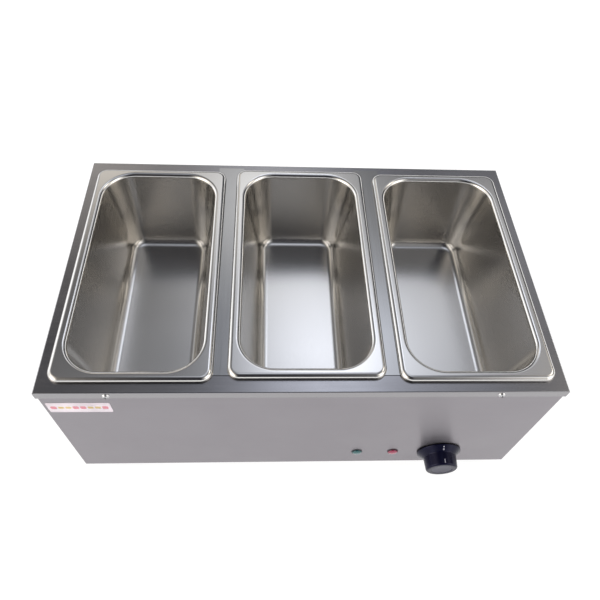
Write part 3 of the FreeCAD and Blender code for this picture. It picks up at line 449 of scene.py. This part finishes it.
def turned_piece(name, profile, centre, node, body, material, soft):
    """A finely turned piece that stands for a CAD node; its profile is in millimetres."""
    scaled = [(radius * MM, distance * MM) for radius, distance in softened(profile, soft)]
    piece = lathe(name, scaled, centre)
    piece.data.materials.append(material)
    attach(piece, body)
    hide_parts(node)


def build_knob(black, satin_black, mark_and_highlight_paint):
    """The knob's body and cap, turned, and the index marks on its top, partly painted highlight.
    """
    outline = [(BORE, -19), (BORE, -2), (HUB, -2), (HUB, -21), (HOLLOW, -21),
               (HOLLOW + 0.5, -9.5), (SKIRT - 2.2, -2.6), (SKIRT - 2, -1), (SKIRT, -1),
               (SKIRT, -2.6), (GRIP, -9), (NOSE, KNOB_FACE + 1.7), (NOSE - 1.6, KNOB_FACE),
               (CAP + 0.1, KNOB_FACE), (CAP + 0.1, KNOB_FACE + 1)]
    turned_piece("knob_body", outline, KNOB_CENTRE, "control_knob", "knob",
                 black, 1.1)
    dish = [(AXIS, KNOB_FACE + 0.9), (CAP, KNOB_FACE + 0.9), (CAP, KNOB_FACE + 0.25),
            (11.6, KNOB_FACE + 0.3), (6.0, KNOB_FACE + 0.7), (AXIS, KNOB_FACE + 0.8)]
    turned_piece("knob_cap_disc", dish, KNOB_CENTRE, "knob_cap", "knob",
                 satin_black, 0.5)
    verts, faces = [], []

    def bar(start, end, width, proud=0.12):
        """A pale bar on the knob's top between two (radius, distance) points: part index mark,
        part painted highlight.
        """
        along = (Vector(end) - Vector(start)).normalized()
        lift = Vector((along.y, -along.x)) * proud
        if lift.x < 0:
            lift = -lift
        corners = (Vector(start) - lift, Vector(start) + lift, Vector(end) + lift,
                   Vector(end) - lift)
        first = len(verts)
        for side in (-width / 2, width / 2):
            for radius, distance in corners:
                verts.append(KNOB_CENTRE + Vector((side, distance, radius)) * MM)
        for a, b, c, d in ((0, 1, 2, 3), (4, 7, 6, 5), (0, 4, 5, 1), (1, 5, 6, 2), (2, 6, 7, 3),
                           (3, 7, 4, 0)):
            faces.append((first + a, first + b, first + c, first + d))

    def skirt_point(share):
        """A point on the skirt's cone, from its rim at 0 to the grip at 1."""
        return (SKIRT + (GRIP - SKIRT) * share, -2.6 - 6.4 * share)

    # Two bars on the skirt and one on the grip sit where highlights fall: index mark and painted
    # highlight in one.
    bar(skirt_point(0.16), skirt_point(0.36), 1.5)
    bar(skirt_point(0.52), skirt_point(0.78), 1.7)
    bar((GRIP - 0.55, -18.5), (GRIP - 0.85, -23.6), 1.3)
    marks = new_piece("knob_marks", verts, faces, smooth=False)
    marks.data.materials.append(mark_and_highlight_paint)
    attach(marks, "knob")
    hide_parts("knob_pointer")


LENS, BEZEL, BARREL = 6.2, 7.2, 5.4         # radii of a pilot lamp's dome, collar and body
LENS_RISE, LENS_EDGE, LENS_BACK = 1.85, -1.2, -0.65
BARREL_END = 26          # how far the lamp's body reaches behind the panel


def build_lamp(colour, lens_material, bezel_material):
    """A pilot lamp: a domed lens in a collar, with its body behind the panel."""
    low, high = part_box(f"lamp_{colour}_lens")
    centre = Vector(((low.x + high.x) / 2, CASE_FRONT, (low.z + high.z) / 2))
    dome = [(AXIS, LENS_EDGE - LENS_RISE)]
    for step in range(1, 11):
        angle = math.radians(90 * step / 10)
        dome.append((LENS * math.sin(angle), LENS_EDGE - LENS_RISE * math.cos(angle)))
    turned_piece(f"lamp_{colour}_dome", dome + [(LENS, LENS_BACK), (AXIS, LENS_BACK)], centre,
                 f"lamp_{colour}_lens", "root", lens_material, 0.1)
    barrel = [(AXIS, BARREL_END), (BARREL, BARREL_END), (BARREL, 0), (BEZEL, 0), (BEZEL, -0.9),
              (BEZEL - 0.3, -1.4), (LENS + 0.1, -1.4), (LENS + 0.1, -0.6), (AXIS, -0.6)]
    turned_piece(f"lamp_{colour}_bezel", barrel, centre, f"lamp_{colour}_body", "root",
                 bezel_material, 0.35)


# ------------------------------------------------------------------ label

LABEL_ROW = "pink yellow yellow pink pink yellow yellow pink".split()
LOZENGE, LOZENGE_GAP, LOZENGE_CORNER = 6.6 * MM, 1.4 * MM, 2.1 * MM
LOZENGE_HEIGHT = {"pink": 7.0 * MM, "yellow": 5.2 * MM}
LABEL_CORNER, LABEL_SLOPE = 2 * MM, 0.08 * MM
LABEL_FACE, INK_FACE, INK_BACK = 0.05 * MM, 0.01 * MM, 0.06 * MM    # behind the CAD label's face


def label_plate(name, size, corner, centre, front, back, slope, material):
    """A thin rounded plate facing the front, riding on the case."""
    width, height = size
    ring = rounded_ring(width, height, corner, 0, 6)
    layers = []
    for inset, depth in ((0, back), (0, front + slope), (slope, front)):
        layers.append([Vector((centre.x + point.x * (1 - 2 * inset / width), depth,
                               centre.z + point.y * (1 - 2 * inset / height)))
                       for point in ring])
    piece = loft(name, layers)
    piece.data.materials.append(material)
    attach(piece, "root")
    return piece


def build_label(film, inks):
    """The blank label, with an abstract row of lozenges in place of its print."""
    low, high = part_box("name_label")
    middle = (low + high) / 2
    face = label_plate("label_plate", (high.x - low.x, high.z - low.z), LABEL_CORNER, middle,
                       low.y + LABEL_FACE, high.y, LABEL_SLOPE, film)
    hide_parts("name_label")
    pitch = LOZENGE + LOZENGE_GAP
    first = middle.x - pitch * (len(LABEL_ROW) - 1) / 2
    for index, ink in enumerate(LABEL_ROW):
        centre = Vector((first + pitch * index, 0, middle.z))
        label_plate(f"label_{ink}_{index}", (LOZENGE, LOZENGE_HEIGHT[ink]), LOZENGE_CORNER, centre,
                    low.y + INK_FACE, low.y + INK_BACK, 0.0, inks[ink])


# ------------------------------------------------------------------ build

floor()
studio_light()
camera()

deck_steel = brushed("deck_steel", 0.32, (0.98, 0.965, 1.0), 0.20)
strip_steel = brushed("strip_steel", 0.36, (0.99, 0.985, 0.98), 0.16, "y", stretch_light=0.5)
case_steel = brushed("case_steel", 0.305, (1.01, 0.955, 1.03), 0.36)
pan_steel = satin("pan_steel", 0.60, (1.0, 0.98, 0.95), 0.235, waver=0.05,
                  polish_above=DECK_TOP + 2 * MM)
tank_steel = satin("tank_steel", 0.45, (1, 1, 1), 0.35)
black = moulded("knob_black", (0.003, 0.003, 0.015), 0.24, specular=0.22,
                gloss_tint=(0.7, 0.7, 1))
satin_black = moulded("cap_black", (0.036, 0.036, 0.056), 0.40, gloss_tint=(0.8, 0.8, 1))
# Pale grey for the knob's index mark, which also stands in as painted highlight on its top.
mark_and_highlight_paint = moulded("mark_white", (0.42, 0.42, 0.50), 0.5)
LENSES = {"green": moulded("lens_green", (0.005, 0.085, 0.095), 0.16, coat=0.3),
          "red": moulded("lens_red", (0.30, 0.012, 0.065), 0.16, coat=0.3)}
BEZELS = {"green": moulded("bezel_green", (0.003, 0.022, 0.032), 0.3),
          "red": moulded("bezel_red", (0.055, 0.004, 0.018), 0.3)}
label_film = moulded("label_film", (0.80, 0.72, 0.78), 0.35)
INKS = {"pink": moulded("label_ink_pink", (0.90, 0.38, 0.46), 0.4),
        "yellow": moulded("label_ink_yellow", (0.85, 0.66, 0.34), 0.4)}

# The CAD nodes that keep their own shapes, by what they are made of.
FINISH = [
    (deck_steel, ["top_deck"]),
    (strip_steel, ["divider_strip_left", "divider_strip_right"]),
    (case_steel, ["case_wrap", "rear_panel", "base_plate"]),
    (tank_steel, ["water_tank", "bulb_clips", "element_saddles"]),
    (black, ["lamp_nuts"]),
    (moulded("zinc_plate", (0.55, 0.55, 0.56), 0.28, metal=1.0),
     ["foot_screws", "foot_nuts", "deck_screws", "clip_nuts", "base_screws", "rear_rivets",
      "thermostat_shaft", "thermostat_screws", "element_washers", "element_terminals",
      "cutout_strap", "cutout_nuts", "terminal_screws"]),
    (moulded("brass", (0.62, 0.44, 0.18), 0.30, metal=1.0),
     ["knob_bush", "element_fittings", "element_nuts", "earth_stud", "earth_nut"]),
    (moulded("copper", (0.70, 0.36, 0.20), 0.32, metal=1.0),
     ["thermostat_bulb", "thermostat_capillary"]),
    (moulded("foot_rubber", (0.022, 0.022, 0.022), 0.65),
     ["foot_front_left", "foot_front_right", "foot_rear_left", "foot_rear_right",
      "gland_seal"]),
    (moulded("gland_nylon", (0.025, 0.025, 0.026), 0.45),
     ["cable_gland", "gland_locknut", "gland_dome_nut"]),
    (moulded("element_sheath", (0.30, 0.29, 0.28), 0.42, metal=1.0), ["heating_element"]),
    (moulded("gasket_fibre", (0.38, 0.09, 0.06), 0.7), ["element_gaskets"]),
    (moulded("ceramic", (0.78, 0.75, 0.68), 0.3), ["element_insulators"]),
    (moulded("thermostat_case", (0.10, 0.10, 0.11), 0.5), ["thermostat_body", "thermal_cutout"]),
    (moulded("terminal_plastic", (0.70, 0.68, 0.62), 0.45), ["terminal_block"]),
    (moulded("wire_brown", (0.20, 0.08, 0.03), 0.4), ["wiring_live"]),
    (moulded("wire_blue", (0.03, 0.10, 0.40), 0.4), ["wiring_neutral"]),
    (moulded("wire_green", (0.20, 0.42, 0.06), 0.4), ["wiring_earth"]),
]
for material, members in FINISH:
    for member in members:
        dress(member, material)

for side in ("left", "middle", "right"):
    build_pan(f"pan_{side}", f"{side}_pan", pan_steel)
build_knob(black, satin_black, mark_and_highlight_paint)
for colour, lens in LENSES.items():
    build_lamp(colour, lens, BEZELS[colour])
build_label(label_film, INKS)

bpy.context.view_layer.update()
